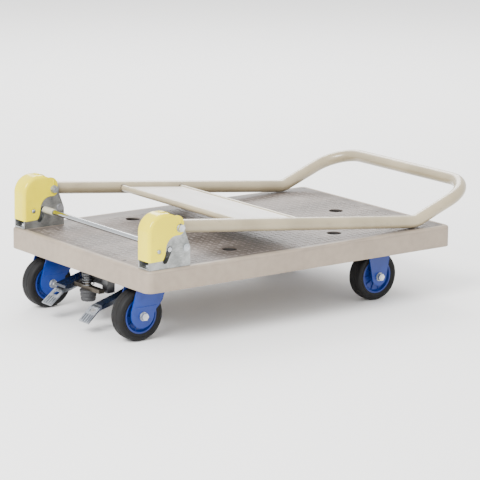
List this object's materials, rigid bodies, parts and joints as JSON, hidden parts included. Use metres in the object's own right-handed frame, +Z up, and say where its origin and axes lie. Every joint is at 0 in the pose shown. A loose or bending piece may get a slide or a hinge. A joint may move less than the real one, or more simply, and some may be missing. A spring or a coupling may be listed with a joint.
{
  "type": "folding platform cart",
  "caption": "Flat platform cart with a fold-down tube handle, yellow hinge caps, swivel and fixed blue casters and a central floor stopper worked by two pedals.",
  "frame": {"origin": "centre of the cart's box, on the floor", "axes": "+X along the deck towards the grip of the folded handle, +Y across the deck towards the left side seen from the swivel end looking to +X, +Z up"},
  "size_m": [0.8618, 0.4858, 0.256],
  "materials": {
    "deck": "moulded, light texture",
    "mat": "embossed anti-slip, scuffed",
    "zinc": "zinc plated",
    "cap": "yellow",
    "chrome": "bright",
    "collar": "smooth",
    "handle_paint": "beige powder coat",
    "panel_paint": "pale coat",
    "fastener": "bright zinc",
    "spring_steel": "drawn wire",
    "fork_paint": "blue coat",
    "hub_plastic": "blue",
    "tyre": "dark grey rubber",
    "stopper_paint": "dark coat",
    "pedal_metal": "zinc, dulled",
    "plug": "black",
    "foot_rubber": "dark"
  },
  "bodies": {
    "chassis": {"deck_plate": "deck", "deck_skirt": "deck", "deck_mat": "mat", "hinge_bracket_L": "zinc", "hinge_bracket_R": "zinc", "hinge_cap_L": "cap", "hinge_cap_R": "cap", "pivot_bolt_L": "fastener", "pivot_bolt_R": "fastener", "stop_pin_L": "zinc", "stop_pin_R": "zinc", "cap_screws": "fastener", "bracket_bolts": "fastener", "rod_spring_L": "spring_steel", "rod_spring_R": "spring_steel", "swivel_plate_L": "fork_paint", "swivel_plate_R": "fork_paint", "kingpin_L": "fastener", "kingpin_R": "fastener", "fixed_fork_L": "fork_paint", "fixed_fork_R": "fork_paint", "fixed_axle_L": "fastener", "fixed_axle_R": "fastener", "caster_bolts": "fastener", "stopper_frame": "stopper_paint", "stopper_shaft": "fastener", "plunger_guide": "stopper_paint", "plunger_spring": "spring_steel", "stopper_bolts": "fastener"},
    "lock_rod_body": {"lock_rod": "chrome", "rod_collar_L": "collar", "rod_collar_R": "collar"},
    "handle": {"handle_tube": "handle_paint", "cross_tube_low": "handle_paint", "cross_tube_high": "handle_paint", "handle_panel": "panel_paint", "pivot_bush_L": "fastener", "pivot_bush_R": "fastener", "tail_plugs": "plug"},
    "swivel_L": {"swivel_fork_L": "fork_paint", "ball_race_L": "spring_steel", "swivel_axle_L": "fastener"},
    "swivel_R": {"swivel_fork_R": "fork_paint", "ball_race_R": "spring_steel", "swivel_axle_R": "fastener"},
    "swivel_wheel_L": {"swivel_hub_L": "hub_plastic", "swivel_tyre_L": "tyre"},
    "swivel_wheel_R": {"swivel_hub_R": "hub_plastic", "swivel_tyre_R": "tyre"},
    "fixed_wheel_L": {"fixed_hub_L": "hub_plastic", "fixed_tyre_L": "tyre"},
    "fixed_wheel_R": {"fixed_hub_R": "hub_plastic", "fixed_tyre_R": "tyre"},
    "lock_pedal": {"lock_lever": "stopper_paint", "lock_pad": "pedal_metal"},
    "release_pedal": {"release_arm": "stopper_paint"},
    "foot": {"plunger": "pedal_metal", "rubber_foot": "foot_rubber"}
  },
  "joints": [
    {"name": "handle_fold", "type": "hinge", "parent": "chassis", "child": "handle", "pos_m": [-0.32671, 0, 0.2245], "axis": [0, -1, 0], "range_deg": [0, 95.6]},
    {"name": "lock_rod_slide", "type": "slide", "parent": "chassis", "child": "lock_rod_body", "axis": [-0.4226, 0, -0.9063], "range_m": [0, 0.022], "stiffness_N_per_m": 900, "springref_m": -0.012, "deforming": ["rod_spring_L", "rod_spring_R"]},
    {"name": "lock_pedal_turn", "type": "hinge", "parent": "chassis", "child": "lock_pedal", "pos_m": [-0.29291, 0, 0.08], "axis": [0, -1, 0], "range_deg": [0, 11]},
    {"name": "release_pedal_turn", "type": "hinge", "parent": "chassis", "child": "release_pedal", "pos_m": [-0.29291, 0, 0.08], "axis": [0, 1, 0], "range_deg": [0, 11]},
    {"name": "foot_drop", "type": "slide", "parent": "chassis", "child": "foot", "axis": [0, 0, -1], "range_m": [0, 0.0446], "deforming": ["plunger_spring"]},
    {"name": "swivel_turn_L", "type": "hinge", "parent": "chassis", "child": "swivel_L", "pos_m": [-0.33891, 0.157, 0.11], "axis": [0, 0, 1], "continuous": true},
    {"name": "swivel_wheel_spin_L", "type": "hinge", "parent": "swivel_L", "child": "swivel_wheel_L", "pos_m": [-0.36891, 0.157, 0.05], "axis": [0, 1, 0], "continuous": true},
    {"name": "fixed_wheel_spin_L", "type": "hinge", "parent": "chassis", "child": "fixed_wheel_L", "pos_m": [0.20409, 0.157, 0.05], "axis": [0, 1, 0], "continuous": true},
    {"name": "swivel_turn_R", "type": "hinge", "parent": "chassis", "child": "swivel_R", "pos_m": [-0.33891, -0.157, 0.11], "axis": [0, 0, 1], "continuous": true},
    {"name": "swivel_wheel_spin_R", "type": "hinge", "parent": "swivel_R", "child": "swivel_wheel_R", "pos_m": [-0.36891, -0.157, 0.05], "axis": [0, 1, 0], "continuous": true},
    {"name": "fixed_wheel_spin_R", "type": "hinge", "parent": "chassis", "child": "fixed_wheel_R", "pos_m": [0.20409, -0.157, 0.05], "axis": [0, 1, 0], "continuous": true}
  ],
  "couplings": [
    {"joint": "release_pedal_turn", "follows": "lock_pedal_turn", "ratio": 1},
    {"joint": "foot_drop", "follows": "lock_pedal_turn", "m_per_rad": 0.2323}
  ]
}
